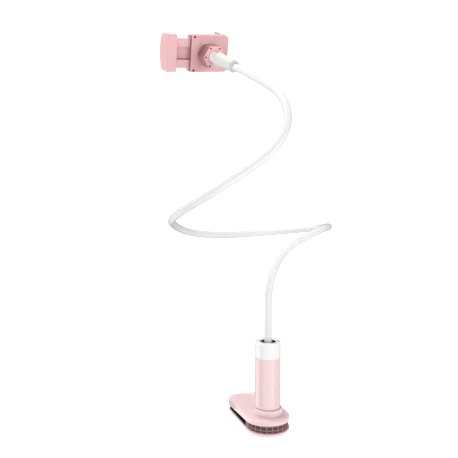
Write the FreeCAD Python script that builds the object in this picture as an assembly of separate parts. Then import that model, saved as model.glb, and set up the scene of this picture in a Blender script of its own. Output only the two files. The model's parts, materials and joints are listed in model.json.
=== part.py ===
import FreeCAD, Part
import math
import os
from FreeCAD import Placement, Rotation, Vector

# Gooseneck phone holder: a screw clamp for a table edge, a bendable arm and a
# spring-loaded phone clamp on a ball joint.
# Millimetres. Origin on the post axis at the underside of the lower jaw, +Z up.
# The clamp's rounded nose points along -Y and its square heel along +Y.

# Fits
running_fit = 0.08      # radial play of a turning or sliding fit
press_fit = 0.02        # radial room left at a pressed or bonded joint
seat_gap = 0.3          # play between faces that move past each other
thread_play = 0.15      # radial play of the screw thread

# Clamp jaws
jaw_half_width = 28.5
jaw_heel = 79.0         # from the post axis to the square end
jaw_heel_corner = 9.0
lower_jaw_thickness = 4.0
lower_jaw_edge = 1.0    # chamfer round the underside
nose_gap = 11.1         # height between the jaws at the nose
heel_gap = 5.0          # height between the jaws at the heel
nose_wall = 4.5         # upright rim of the upper jaw at the nose
rim_round = 3.0         # soft shoulder round the rim
bevel_height = 2.4      # fall of the top from its crest to the shoulder
crest_half_width = 16.5     # flat top along the middle
crest_round = 1.0       # soft crease along the crest
heel_bevel = 2.5
collar_radius = 19.0
collar_height = 8.0
collar_edge = 1.0
collar_foot = 0.8       # hollow round where the collar meets the jaw
jaw_travel = 40.0

# Pads and edge stop
pad_inset = 2.0
lower_pad_thickness = 2.5
stop_boss_radius = 15.0
stop_back = 10.0        # stop's flat back behind the post's axis
stop_cell_count = 11    # hollow cells side by side round the nose
stop_cell_depth = 0.7
stop_rib = 1.2          # ribs between the cells
stop_split = 4.0        # middle rib above the lower jaw
stop_cell_top = 8.6     # upper cells end this far above the lower jaw

# Post with its thread and two flats
post_radius = 9.0
post_flat = 7.5         # from the axis to a flat
post_flange_radius = 12.0
post_flange_height = 3.0
post_recess = 1.6       # post's top below the ring's rim when the clamp is shut
post_screw_radius = 2.0
post_screw_head_radius = 3.8
post_screw_head_height = 2.2
post_screw_circle = 5.0
post_screw_length = 12.0
post_screw_count = 3
set_screw_radius = 2.0
set_screw_drop = 24.0   # below the post's top
set_screw_socket = 1.0

# Turning grip
grip_radius = 16.2
grip_bore_radius = 12.6
grip_length = 65.7
grip_edge = 0.6
grip_flange_height = 3.5
guide_radius = 11.2
retainer_thickness = 1.2
retainer_groove = 0.8
guide_end = 1.5         # guide tube above the retainer
nut_space = 1.0
nut_length = 14.0
ring_height = 21.0
ring_bore_radius = 9.6
ring_edge = 1.0
ring_spigot = 6.0

# Bendable arm
hose_radius = 4.75
core_radius = 3.0
hose_play = 0.1
hose_socket = 10.0      # hose held in the post
core_socket = 38.0      # core held in the post
arm_bend = 0.45         # share of the shorter run that a bend takes up
arm_route = [
    (0, 0, 196),
    (35, 25, 234),
    (91, 32, 255),
    (135, 85, 253),
    (134, 153, 242),
    (74, 191, 234),
    (-2, 159, 236),
    (-66, 119, 245),
    (-102, 74, 260),
    (-127, 8, 278),
    (-86, -59, 314),
    (-11, -76, 366),
    (9, -38, 418),
]

# Ball joint
head_across = -38.0     # ball's centre from the post's axis
head_back = 110.0
head_height = 488.0
head_yaw = 8.0
head_pitch = 17.0       # the clamp's back looks this far below the horizon
head_roll = 4.0
stem_tilt = 12.0        # stem against the clamp's axis
stem_lean = -29.0       # which way the stem tilts, about the clamp's axis
ball_radius = 8.5
neck_radius = 4.0
stud_radius = 3.0
stud_length = 14.0
ferrule_start = 10.2    # from the ball's centre
ferrule_length = 40.0
ferrule_nose_radius = 6.4
ferrule_shoulder = 3.2
ferrule_radius = 9.6
ferrule_end_radius = 7.2
ferrule_bead = 0.9
ferrule_bead_length = 2.6
ferrule_hose_socket = 18.0
ferrule_core_socket = 2.6
arm_lead = 100.0        # straight end of the arm, from the ball's centre

# Lock nut
nut_flats = 28.8
nut_front = 6.0
lip_height = 4.2        # from the ball's centre to the narrowest ring
lip_flare = 2.5
nut_wall_gap = 0.4
thread_radius = 11.7
dimple_radius = 2.0
dimple_circle = 13.4
dimple_depth = 3.0
nut_edge = 0.8

# Phone clamp
cover_face = 15.0       # from the ball's centre down to the back cover
clamp_rise = 1.6        # the clamp's middle line above the ball's centre
cover_thickness = 3.0
cover_edge = 1.0
strip_width = 13.5
strip_height = 1.2
housing_left = 27.0     # from the clamp's axis to the open mouth
housing_right = 29.5    # from the clamp's axis to the fixed jaw
housing_half_height = 24.8
housing_corner = 5.5
mouth_corner = 2.0
mouth_hole_radius = 1.4     # blind holes in the mouth's two walls
mouth_hole_depth = 2.4
channel_half_height = 19.8
channel_end_wall = 4.5
floor_thickness = 3.5
tongue_thickness = 6.4
tongue_channel_half = 8.4
tongue_channel_depth = 4.6
tongue_hold = 12.0      # tongue left inside at full stretch
jaw_stretch = 28.0
jaw_stand_off = 20.0    # exposed tongue at rest
jaw_block = 13.4
jaw_half_height = 24.9
jaw_back_step = 0.5
jaw_corner = 3.0
jaw_front_corner = 4.0
jaw_edge = 1.0
jaw_depth = 31.0
jaw_barrel = 8.0        # bulge of the jaw's front
jaw_wall = 8.0
fixed_wall = 7.5
lip_thickness = 5.0
lip_reach = 6.0
phone_depth_play = 0.2
pad_thickness = 3.0
lip_pad_thickness = 1.5
pad_end_inset = 6.9     # pads end this far inside the jaws' ends
fixed_pad_overhang = 1.8    # the fixed jaw's pad stands out past its ends
cover_screw_inset = 5.0     # from the mouth's edge
cover_screw_radius = 0.9
cover_screw_head = 1.6
cover_screw_head_height = 1.4
cover_screw_length = 9.0
pin_radius = 1.2
pin_end_gap = 0.2
spring_radius = 2.0
spring_wire = 0.5
spring_offset = 4.0
spring_anchor = 14.0    # anchor post on the tongue, left of the clamp's centre
pin_from_wall = 4.5

# Heights worked out from the sizes above
lower_top = lower_jaw_thickness
under_nose = lower_top + nose_gap
rim_top = under_nose + nose_wall
jaw_top = rim_top + bevel_height
collar_top = jaw_top + collar_height
grip_bottom = collar_top + seat_gap
grip_top = grip_bottom + grip_length
flange_top = grip_bottom + grip_flange_height
retainer_bottom = flange_top + seat_gap
guide_top = retainer_bottom + retainer_thickness + guide_end
nut_bottom = guide_top + nut_space
nut_top = nut_bottom + nut_length
post_top = grip_top + ring_height - post_recess
pad_radius = jaw_half_width - pad_inset


def cylinder(radius, low, high, x=0.0, y=0.0):
    return Part.makeCylinder(radius, high - low, Vector(x, y, low))


def box(x0, x1, y0, y1, z0, z1):
    return Part.makeBox(x1 - x0, y1 - y0, z1 - z0, Vector(x0, y0, z0))


def turned_part(profile, angle):
    """Part turn about Z, starting at +X, of (radius, height) corners."""
    corners = [Vector(r, 0, z) for r, z in profile]
    face = Part.Face(Part.makePolygon(corners + corners[:1]))
    return face.revolve(Vector(0, 0, 0), Vector(0, 0, 1), angle)


def turned(profile):
    """Solid of revolution about Z from (radius, height) corners."""
    return turned_part(profile, 360)


def rounded_outline(corners):
    """Closed wire in the XY plane through (x, y, corner radius) points."""
    count = len(corners)
    starts, ends, middles = [], [], []
    for i, (x, y, radius) in enumerate(corners):
        here = Vector(x, y, 0)
        before = Vector(*corners[i - 1][:2], 0) - here
        after = Vector(*corners[(i + 1) % count][:2], 0) - here
        before.normalize()
        after.normalize()
        half = before.getAngle(after) / 2
        reach = radius / math.tan(half)
        inward = before + after
        inward.normalize()
        starts.append(here + before * reach)
        ends.append(here + after * reach)
        middles.append(here + inward * (radius / math.sin(half) - radius))
    edges = []
    for i in range(count):
        if corners[i][2] > 0:
            edges.append(Part.Arc(starts[i], middles[i], ends[i]).toShape())
        edges.append(Part.LineSegment(ends[i], starts[(i + 1) % count]).toShape())
    return Part.Wire(edges)


def prism(wire, low, high):
    face = Part.Face(wire)
    face.translate(Vector(0, 0, low))
    return face.extrude(Vector(0, 0, high - low))


def across(profile, x0, x1):
    """Extrusion along X of a (y, z) outline."""
    corners = [Vector(x0, y, z) for y, z in profile]
    face = Part.Face(Part.makePolygon(corners + corners[:1]))
    return face.extrude(Vector(x1 - x0, 0, 0))


def along(profile, y0, y1):
    """Extrusion along Y of an (x, z) outline."""
    corners = [Vector(x, y0, z) for x, z in profile]
    face = Part.Face(Part.makePolygon(corners + corners[:1]))
    return face.extrude(Vector(0, y1 - y0, 0))


def around(shape, count, first=0.0):
    """Copies of a shape spaced evenly round Z."""
    copies = []
    for i in range(count):
        copy = shape.copy()
        copy.rotate(Vector(0, 0, 0), Vector(0, 0, 1), first + 360.0 * i / count)
        copies.append(copy)
    return copies


def save(name, shape):
    solids = shape.Solids
    whole = solids[0] if len(solids) == 1 else Part.makeCompound(solids)
    whole.exportStep("parts/" + name + ".step")


# Clamp base

def jaw_outline(half_width, heel, corner, front=None):
    """D shape: half-round nose, or a straight front edge, and a square heel."""
    if front is not None:
        return rounded_outline([
            (-half_width, front, 0),
            (half_width, front, 0),
            (half_width, heel, corner),
            (-half_width, heel, corner),
        ])
    body = prism(rounded_outline([
        (-half_width, 0, 0),
        (half_width, 0, 0),
        (half_width, heel, corner),
        (-half_width, heel, corner),
    ]), 0, 1)
    whole = body.fuse(cylinder(half_width, 0, 1)).removeSplitter()
    return [f for f in whole.Faces if f.BoundBox.ZMax < 0.5][0].OuterWire


def below_upper_jaw(gap=0.0):
    """Everything under the upper jaw's sloping underside, less a gap."""
    margin = jaw_half_width
    slope = (heel_gap - nose_gap) / (jaw_heel + jaw_half_width)
    ends = (-jaw_half_width - margin, jaw_heel + margin)
    heights = [under_nose + (y + jaw_half_width) * slope - gap for y in ends]
    floor = -margin
    profile = [(ends[0], floor), (ends[0], heights[0]), (ends[1], heights[1]), (ends[1], floor)]
    return across(profile, -2 * jaw_half_width, 2 * jaw_half_width)


def keyed_post(play, low, high):
    """Round post with two flats, grown by a play."""
    half = post_flat + play
    reach = post_radius + play
    return cylinder(reach, low, high).common(box(-half, half, -reach, reach, low, high))


def post_screw_hole():
    head = Part.makeCone(post_screw_head_radius, post_screw_radius, post_screw_head_height)
    shank = cylinder(post_screw_radius, 0, post_screw_length)
    return head.fuse(shank)


def make_lower_jaw():
    jaw = prism(jaw_outline(jaw_half_width, jaw_heel, jaw_heel_corner), 0, lower_top)
    rim = [e for e in jaw.Edges if e.BoundBox.ZMax < seat_gap]
    jaw = jaw.makeChamfer(lower_jaw_edge, rim)
    hole = post_screw_hole()
    hole.translate(Vector(0, post_screw_circle, 0))
    return jaw.cut(Part.makeCompound(around(hole, post_screw_count)))


def pad_plate(low, high):
    """Plate behind the edge stop, cut out round the stop's boss."""
    plate = prism(jaw_outline(pad_radius, jaw_heel - pad_inset, jaw_heel_corner - pad_inset,
                              stop_back + seat_gap), low, high)
    return plate.cut(cylinder(stop_boss_radius + seat_gap, low, high))


def make_lower_pad():
    return pad_plate(lower_top, lower_top + lower_pad_thickness)


def make_edge_stop():
    nose = prism(jaw_outline(pad_radius, jaw_heel, 0), lower_top, jaw_top)
    nose = nose.common(box(-pad_radius, pad_radius, -pad_radius, stop_back, lower_top, jaw_top))
    stop = nose.fuse(cylinder(stop_boss_radius, lower_top, jaw_top))
    stop = stop.common(below_upper_jaw(seat_gap))
    stop = stop.cut(cylinder(post_flange_radius + running_fit, 0, jaw_top))
    step = 180.0 / stop_cell_count
    sweep = step - math.degrees(stop_rib / pad_radius)
    rows = [
        (lower_top + stop_rib, lower_top + stop_split - stop_rib / 2),
        (lower_top + stop_split + stop_rib / 2, lower_top + stop_cell_top),
    ]
    cells = []
    for low, high in rows:
        ring = turned_part([
            (pad_radius - stop_cell_depth, low),
            (pad_radius + stop_cell_depth, low),
            (pad_radius + stop_cell_depth, high),
            (pad_radius - stop_cell_depth, high),
        ], sweep)
        for i in range(stop_cell_count):
            cell = ring.copy()
            cell.rotate(Vector(0, 0, 0), Vector(0, 0, 1), 180 + step * i + (step - sweep) / 2)
            cells.append(cell)
    return stop.cut(Part.makeCompound(cells)).removeSplitter()


def make_post():
    flange = cylinder(post_flange_radius, lower_top, lower_top + post_flange_height)
    post = flange.fuse(keyed_post(0, lower_top, post_top))
    post = post.cut(cylinder(hose_radius + hose_play, post_top - hose_socket, post_top))
    post = post.cut(cylinder(core_radius + hose_play, post_top - core_socket, post_top))
    hole = post_screw_hole()
    hole.translate(Vector(0, post_screw_circle, 0))
    post = post.cut(Part.makeCompound(around(hole, post_screw_count)))
    return post.cut(set_screw_body(0, post_radius))


def set_screw_body(start, end):
    height = post_top - set_screw_drop
    return Part.makeCylinder(set_screw_radius, end - start, Vector(start, 0, height), Vector(1, 0, 0))


def make_set_screw():
    screw = set_screw_body(core_radius + hose_play, post_flat)
    height = post_top - set_screw_drop
    socket = Part.makeCylinder(set_screw_socket, set_screw_radius,
                               Vector(post_flat - set_screw_radius, 0, height), Vector(1, 0, 0))
    return screw.cut(socket)


def make_post_screws():
    screw = post_screw_hole()
    socket = cylinder(post_screw_radius / 2, 0, post_screw_head_height / 2)
    screw = screw.cut(socket)
    screw = screw.cut(cylinder(post_screw_head_radius, 0, seat_gap))
    screw.translate(Vector(0, post_screw_circle, 0))
    return Part.makeCompound(around(screw, post_screw_count))


def on_shoulder(edge):
    """True for the rim's edges and the corners above it, but not for seams up the slope or the crest."""
    low, high = edge.BoundBox.ZMin, edge.BoundBox.ZMax
    if low < rim_top - press_fit or low > jaw_top - press_fit:
        return False
    return low > rim_top + press_fit or high < jaw_top - press_fit


def at_collar_foot(edge):
    """True for an edge round the collar where it meets the jaw's top."""
    if edge.BoundBox.ZMax > collar_top - collar_edge - press_fit or edge.BoundBox.ZMin < rim_top:
        return False
    reaches = [math.hypot(v.Point.x, v.Point.y) for v in edge.Vertexes]
    return all(abs(reach - collar_radius) < press_fit for reach in reaches)


def make_upper_jaw():
    nose = turned([
        (0, lower_top),
        (jaw_half_width, lower_top),
        (jaw_half_width, rim_top),
        (crest_half_width, jaw_top),
        (0, jaw_top),
    ])
    body = along([
        (-jaw_half_width, lower_top),
        (jaw_half_width, lower_top),
        (jaw_half_width, rim_top),
        (crest_half_width, jaw_top),
        (-crest_half_width, jaw_top),
        (-jaw_half_width, rim_top),
    ], 0, jaw_heel)
    jaw = nose.fuse(body).removeSplitter()
    jaw = jaw.common(prism(jaw_outline(jaw_half_width, jaw_heel, jaw_heel_corner), 0, jaw_top))
    jaw = jaw.common(across([
        (-jaw_half_width, lower_top),
        (jaw_heel, lower_top),
        (jaw_heel, rim_top),
        (jaw_heel - heel_bevel, jaw_top),
        (-jaw_half_width, jaw_top),
    ], -jaw_half_width, jaw_half_width))
    jaw = jaw.cut(below_upper_jaw())
    jaw = jaw.makeFillet(rim_round, [e for e in jaw.Edges if on_shoulder(e)])
    crest = [e for e in jaw.Edges if e.BoundBox.ZMin > jaw_top - press_fit]
    jaw = jaw.makeFillet(crest_round, crest)
    collar = turned([
        (0, rim_top),
        (collar_radius, rim_top),
        (collar_radius, collar_top - collar_edge),
        (collar_radius - collar_edge, collar_top),
        (0, collar_top),
    ])
    groove_radius = guide_radius - retainer_groove
    guide = turned([
        (0, rim_top),
        (guide_radius, rim_top),
        (guide_radius, retainer_bottom),
        (groove_radius, retainer_bottom),
        (groove_radius, retainer_bottom + retainer_thickness),
        (guide_radius, retainer_bottom + retainer_thickness),
        (guide_radius, guide_top),
        (0, guide_top),
    ])
    jaw = jaw.fuse(collar).removeSplitter()
    jaw = jaw.makeFillet(collar_foot, [e for e in jaw.Edges if at_collar_foot(e)])
    jaw = jaw.fuse(guide).removeSplitter()
    return jaw.cut(keyed_post(running_fit, 0, guide_top))


def make_upper_pad():
    return pad_plate(lower_top + lower_pad_thickness + seat_gap, jaw_top).common(below_upper_jaw())


def make_retainer():
    inner = guide_radius - retainer_groove + press_fit
    outer = grip_bore_radius - seat_gap
    low = retainer_bottom
    high = retainer_bottom + retainer_thickness
    ring = cylinder(outer, low, high).cut(cylinder(inner, low, high))
    opening = box(-inner / 4, inner / 4, 0, outer, low, high)
    return ring.cut(opening)


def make_grip():
    inner = guide_radius + running_fit
    return turned([
        (inner, grip_bottom),
        (grip_radius - grip_edge, grip_bottom),
        (grip_radius, grip_bottom + grip_edge),
        (grip_radius, grip_top - grip_edge),
        (grip_radius - grip_edge, grip_top),
        (grip_bore_radius, grip_top),
        (grip_bore_radius, flange_top),
        (inner, flange_top),
    ])


def make_grip_nut():
    nut = cylinder(grip_bore_radius - press_fit, nut_bottom, nut_top)
    return nut.cut(cylinder(post_radius + thread_play, nut_bottom, nut_top))


def make_top_ring():
    spigot_radius = grip_bore_radius - press_fit
    top = grip_top + ring_height
    return turned([
        (ring_bore_radius, grip_top - ring_spigot),
        (spigot_radius, grip_top - ring_spigot),
        (spigot_radius, grip_top),
        (grip_radius - grip_edge, grip_top),
        (grip_radius, grip_top + grip_edge),
        (grip_radius, top - ring_edge),
        (grip_radius - ring_edge, top),
        (ring_bore_radius + ring_edge, top),
        (ring_bore_radius, top - ring_edge),
    ])


# Ball joint and arm, placed from the ball's centre

along_x = Vector(1, 0, 0)
along_y = Vector(0, 1, 0)
along_z = Vector(0, 0, 1)
ball_centre = Vector(head_across, head_back, head_height)
head_turn = Rotation(along_z, head_yaw) * Rotation(along_x, 90 + head_pitch) * Rotation(along_z, head_roll)
stem_turn = head_turn * Rotation(along_z, stem_lean) * Rotation(along_y, stem_tilt)
head_place = Placement(ball_centre, head_turn)
clamp_place = Placement(head_place.multVec(Vector(0, clamp_rise, 0)), head_turn)
stem_place = Placement(ball_centre, stem_turn)
stem_axis = stem_turn.multVec(along_z)


def placed(shape, place):
    copy = shape.copy()
    copy.Placement = place.multiply(copy.Placement)
    return copy


def arm_wire(start_z, end_reach):
    """Straight runs and tangent bends from the post to the ball's stem."""
    route = [Vector(0, 0, post_top - hose_socket)]
    route += [Vector(*p) for p in arm_route]
    route.append(ball_centre + stem_axis * arm_lead)
    hose_end = ferrule_start + ferrule_length - ferrule_hose_socket
    route.append(ball_centre + stem_axis * hose_end)
    last = Vector(0, 0, start_z)
    edges = []
    radii = []
    for before, here, after in zip(route, route[1:], route[2:]):
        inbound = here - before
        outbound = after - here
        reach = arm_bend * min(inbound.Length, outbound.Length)
        turn = inbound.getAngle(outbound)
        radius = reach / math.tan(turn / 2)
        radii.append(radius)
        inbound.normalize()
        outbound.normalize()
        inward = outbound - inbound
        inward.normalize()
        start = here - inbound * reach
        end = here + outbound * reach
        middle = here + inward * (radius / math.cos(turn / 2) - radius)
        edges.append(Part.LineSegment(last, start).toShape())
        edges.append(Part.Arc(start, middle, end).toShape())
        last = end
    edges.append(Part.LineSegment(last, ball_centre + stem_axis * end_reach).toShape())
    return Part.Wire(edges), radii


def arm_tube(radius, start_z, end_reach):
    wire, radii = arm_wire(start_z, end_reach)
    section = Part.Wire(Part.makeCircle(radius, Vector(0, 0, start_z), Vector(0, 0, 1)))
    tube = wire.makePipeShell([section], True, False)
    ideal = math.pi * radius ** 2 * wire.Length
    print("arm radius %.2f length %.1f volume ratio %.5f" % (radius, wire.Length, tube.Volume / ideal))
    print("bend radii", [round(r, 1) for r in radii])
    return tube


def make_arm():
    hose_end = ferrule_start + ferrule_length - ferrule_hose_socket
    hose = arm_tube(hose_radius, post_top - hose_socket, hose_end)
    bore = arm_tube(core_radius + hose_play, post_top - hose_socket, hose_end)
    core = arm_tube(core_radius, post_top - core_socket, hose_end - ferrule_core_socket)
    return hose.cut(bore), core


def make_ferrule():
    start = ferrule_start
    end = ferrule_start + ferrule_length
    bead_start = end - ferrule_bead_length
    bead_radius = ferrule_end_radius + ferrule_bead
    stud_hole = stud_radius + running_fit
    stud_end = start + stud_length + seat_gap
    hose_hole = hose_radius + hose_play
    hose_end = end - ferrule_hose_socket
    core_end = hose_end - ferrule_core_socket
    shell = turned([
        (0, start),
        (ferrule_nose_radius, start),
        (ferrule_radius, start + ferrule_shoulder),
        (ferrule_end_radius, bead_start - ferrule_bead),
        (bead_radius, bead_start),
        (bead_radius, end - ferrule_bead),
        (ferrule_end_radius, end),
        (0, end),
    ])
    shell = shell.cut(cylinder(stud_hole, start, stud_end))
    shell = shell.cut(cylinder(core_radius + hose_play, core_end, hose_end))
    shell = shell.cut(cylinder(hose_hole, hose_end, end))
    return placed(shell, stem_place)


def make_ball_stud():
    neck_end = ferrule_start - seat_gap
    stud_end = ferrule_start + stud_length
    ball = Part.makeSphere(ball_radius)
    neck = cylinder(neck_radius, 0, neck_end)
    stud = cylinder(stud_radius, neck_end - seat_gap, stud_end)
    return placed(ball.fuse([neck, stud]).removeSplitter(), stem_place)


def hexagon(flats):
    corner = flats / math.sqrt(3)
    angles = [math.radians(60 * i) for i in range(6)]
    return rounded_outline([(corner * math.cos(a), corner * math.sin(a), nut_edge) for a in angles])


def make_lock_nut():
    back = -cover_face + nut_wall_gap
    seat_radius = ball_radius + running_fit
    lip_radius = math.sqrt(seat_radius ** 2 - lip_height ** 2)
    nut = prism(hexagon(nut_flats), back, nut_front)
    hollow = turned([
        (0, back),
        (thread_radius + thread_play, back),
        (thread_radius + thread_play, 0),
        (seat_radius, 0),
        (lip_radius, lip_height),
        (lip_radius + lip_flare, nut_front),
        (0, nut_front),
    ])
    nut = nut.cut(hollow).cut(Part.makeSphere(seat_radius))
    corners = [(dimple_radius * math.cos(a), dimple_radius * math.sin(a), 0)
               for a in (0, 2 * math.pi / 3, 4 * math.pi / 3)]
    dimple = prism(rounded_outline(corners), nut_front - dimple_depth, nut_front)
    dimple.translate(Vector(dimple_circle, 0, 0))
    nut = nut.cut(Part.makeCompound(around(dimple, 6)))
    return placed(nut, head_place)


# Phone clamp, drawn with X along the clamp, Y up its back and Z out of its back

cover_bottom = -cover_face - cover_thickness
tongue_back = cover_bottom - seat_gap
tongue_front = tongue_back - tongue_thickness
floor_back = tongue_front - seat_gap
housing_front = floor_back - floor_thickness
jaw_back = -cover_face - jaw_back_step
jaw_front = jaw_back - jaw_depth
lip_back = jaw_front + lip_thickness
jaw_inner_edge = -housing_left - jaw_stand_off
jaw_outer_edge = jaw_inner_edge - jaw_block
sliding_face = jaw_outer_edge + jaw_wall
fixed_face = housing_right - fixed_wall
tongue_end = -housing_left + jaw_stretch + tongue_hold
pin_x = housing_right - channel_end_wall - pin_from_wall
screw_x = -housing_left + cover_screw_inset
screw_y = (channel_half_height + housing_half_height) / 2
hook_open = housing_half_height + seat_gap
lip_pad_half = jaw_half_height - pad_end_inset


def housing_outline():
    return rounded_outline([
        (-housing_left, -housing_half_height, mouth_corner),
        (housing_right, -housing_half_height, housing_corner),
        (housing_right, housing_half_height, housing_corner),
        (-housing_left, housing_half_height, mouth_corner),
    ])


def jaw_side(half_height, back, x0, x1):
    """Jaw block with a straight back and a bulging front, seen from its end."""
    end_z = jaw_front + jaw_barrel
    reach = half_height - jaw_corner
    turn = jaw_corner * (1 - math.sqrt(0.5))
    low_back = Vector(x0, -reach, back)
    high_back = Vector(x0, reach, back)
    low_side = Vector(x0, -half_height, back - jaw_corner)
    high_side = Vector(x0, half_height, back - jaw_corner)
    low_front = Vector(x0, -half_height, end_z)
    high_front = Vector(x0, half_height, end_z)
    edges = [
        Part.LineSegment(low_back, high_back).toShape(),
        Part.Arc(high_back, Vector(x0, half_height - turn, back - turn), high_side).toShape(),
        Part.LineSegment(high_side, high_front).toShape(),
        Part.Arc(high_front, Vector(x0, 0, jaw_front), low_front).toShape(),
        Part.LineSegment(low_front, low_side).toShape(),
        Part.Arc(low_side, Vector(x0, -half_height + turn, back - turn), low_back).toShape(),
    ]
    block = Part.Face(Part.Wire(edges)).extrude(Vector(x1 - x0, 0, 0))
    ends = [e for e in block.Edges
            if abs(e.BoundBox.ZMin - end_z) < press_fit and e.BoundBox.ZLength < press_fit]
    return block.makeFillet(jaw_front_corner, ends)


def screw_holes(radius, low, high):
    return Part.makeCompound([cylinder(radius, low, high, screw_x, y) for y in (-screw_y, screw_y)])


def make_housing():
    shell = prism(housing_outline(), housing_front, cover_bottom)
    shell = shell.cut(box(-housing_left, housing_right - channel_end_wall,
                          -channel_half_height, channel_half_height, floor_back, cover_bottom))
    hook = jaw_side(housing_half_height, cover_bottom, fixed_face - lip_reach, housing_right)
    hook = hook.cut(box(fixed_face - lip_reach, housing_right, -hook_open, hook_open,
                        housing_front + seat_gap, cover_bottom))
    hook = hook.cut(box(fixed_face - lip_reach, fixed_face, -hook_open, hook_open,
                        lip_back, housing_front + seat_gap))
    shell = shell.fuse(hook)
    pins = spring_pin_pair(pin_radius + press_fit, floor_back - floor_thickness / 2, cover_bottom)
    shell = shell.cut(pins)
    hole_end = -cover_face + strip_height - cover_screw_length
    shell = shell.cut(screw_holes(cover_screw_radius, hole_end, cover_bottom))
    hole_height = cover_bottom - 2 * mouth_hole_radius
    mouth_holes = [Part.makeCylinder(mouth_hole_radius, mouth_hole_depth,
                                     Vector(-housing_left, y, hole_height), along_x)
                   for y in (-screw_y, screw_y)]
    shell = shell.cut(Part.makeCompound(mouth_holes))
    return placed(shell.removeSplitter(), clamp_place)


def make_cover():
    seat_radius = ball_radius + running_fit
    top = -cover_face + strip_height
    strip_end = -housing_left + strip_width
    cover = prism(housing_outline(), cover_bottom, -cover_face)
    strip = prism(housing_outline(), -cover_face, top)
    strip = strip.common(box(-housing_left, strip_end, -housing_half_height, housing_half_height,
                             -cover_face, top))
    cover = cover.fuse(strip).removeSplitter()

    def on_outline(edge):
        """True for the back's outer edges, but not for the inner corner at the strip's foot."""
        room = edge.BoundBox
        if room.ZMin < -cover_face - press_fit or room.ZLength > press_fit:
            return False
        return room.ZMax > top - press_fit or room.XMax > strip_end + press_fit

    edge_round = min(cover_edge, 0.8 * strip_height)
    cover = cover.makeFillet(edge_round, [e for e in cover.Edges if on_outline(e)])
    boss = turned([
        (0, cover_bottom),
        (thread_radius, cover_bottom),
        (thread_radius, -seat_gap),
        (0, -seat_gap),
    ])
    socket_place = Vector(0, -clamp_rise, 0)
    nut_reach = nut_flats / math.sqrt(3) + seat_gap
    cover = cover.cut(cylinder(nut_reach, -cover_face, top, 0, -clamp_rise))
    boss.translate(socket_place)
    cover = cover.fuse(boss).removeSplitter()
    cover = cover.cut(Part.makeSphere(seat_radius, socket_place))
    cover = cover.cut(screw_holes(cover_screw_radius, cover_bottom, top))
    cover = cover.cut(screw_holes(cover_screw_head, top - cover_screw_head_height, top))
    return placed(cover, clamp_place)


def make_cover_screws():
    top = -cover_face + strip_height
    screws = []
    for y in (-screw_y, screw_y):
        head = cylinder(cover_screw_head - press_fit, top - cover_screw_head_height,
                        top - seat_gap, screw_x, y)
        shank = cylinder(cover_screw_radius - press_fit, top - cover_screw_length,
                         top - cover_screw_head_height, screw_x, y)
        socket = cylinder(cover_screw_radius / 2, top - cover_screw_head_height / 2, top, screw_x, y)
        screws.append(placed(head.fuse(shank).cut(socket), clamp_place))
    return Part.makeCompound(screws)


def make_fixed_pad():
    return make_pad(fixed_face, -1, housing_half_height + fixed_pad_overhang)


def make_sliding_pad():
    return make_pad(sliding_face, 1, lip_pad_half)


def make_pad(wall, side, half_height):
    """Silicone pad on a jaw's wall and lip; side is the way to the phone."""
    inner = wall + side * pad_thickness
    edge = wall + side * lip_reach
    upright = along([
        (wall, housing_front),
        (inner, housing_front),
        (inner, lip_back),
        (wall, lip_back),
    ], -half_height, half_height)
    foot = along([
        (wall, lip_back),
        (edge, lip_back),
        (edge, lip_back + lip_pad_thickness),
        (wall, lip_back + lip_pad_thickness),
    ], -lip_pad_half, lip_pad_half)
    return placed(upright.fuse(foot).removeSplitter(), clamp_place)


def make_sliding_jaw():
    jaw = jaw_side(jaw_half_height, jaw_back, jaw_outer_edge, jaw_inner_edge)
    outer = [e for e in jaw.Edges if e.BoundBox.XMax < jaw_outer_edge + seat_gap]
    jaw = jaw.makeFillet(jaw_edge, outer)
    jaw = jaw.cut(box(sliding_face, jaw_inner_edge, -jaw_half_height, jaw_half_height,
                      jaw_front, housing_front + phone_depth_play))
    lip = jaw_side(jaw_half_height, jaw_back, sliding_face, sliding_face + lip_reach)
    lip = lip.common(box(sliding_face, sliding_face + lip_reach, -jaw_half_height, jaw_half_height,
                         jaw_front, lip_back))
    half = channel_half_height - seat_gap
    tongue = box(sliding_face, tongue_end, -half, half, tongue_front, tongue_back)
    channel = box(jaw_inner_edge, tongue_end, -tongue_channel_half, tongue_channel_half,
                  tongue_back - tongue_channel_depth, tongue_back)
    posts = Part.makeCompound([
        cylinder(pin_radius, tongue_front, tongue_back, -spring_anchor, y)
        for y in (-spring_offset, spring_offset)
    ])
    jaw = jaw.fuse([lip, tongue]).cut(channel).fuse(posts)
    return placed(jaw.removeSplitter(), clamp_place)


def spring_pin_pair(radius, low, high):
    sides = (-spring_offset, spring_offset)
    return Part.makeCompound([cylinder(radius, low, high, pin_x, y) for y in sides])


def make_spring_pins():
    low = floor_back - floor_thickness / 2
    return placed(spring_pin_pair(pin_radius, low, cover_bottom - pin_end_gap), clamp_place)


def make_springs():
    """Close-wound tension springs with an eye at each end."""
    height = tongue_back - tongue_channel_depth / 2
    eye = pin_radius + seat_gap + spring_wire
    springs = []
    for y in (-spring_offset, spring_offset):
        start = -spring_anchor + eye
        end = pin_x - eye
        coil = Part.makeCylinder(spring_radius, end - start, Vector(start, y, height), Vector(1, 0, 0))
        coil = coil.cut(Part.makeCylinder(spring_radius - spring_wire, end - start - 2 * spring_wire,
                                          Vector(start + spring_wire, y, height), Vector(1, 0, 0)))
        eyes = [cylinder(eye + spring_wire, height - spring_wire, height + spring_wire, x, y)
                for x in (-spring_anchor, pin_x)]
        holes = [cylinder(eye - spring_wire, height - spring_wire, height + spring_wire, x, y)
                 for x in (-spring_anchor, pin_x)]
        springs.append(placed(coil.fuse(eyes).cut(Part.makeCompound(holes)), clamp_place))
    return Part.makeCompound(springs)


os.makedirs("parts", exist_ok=True)

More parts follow.
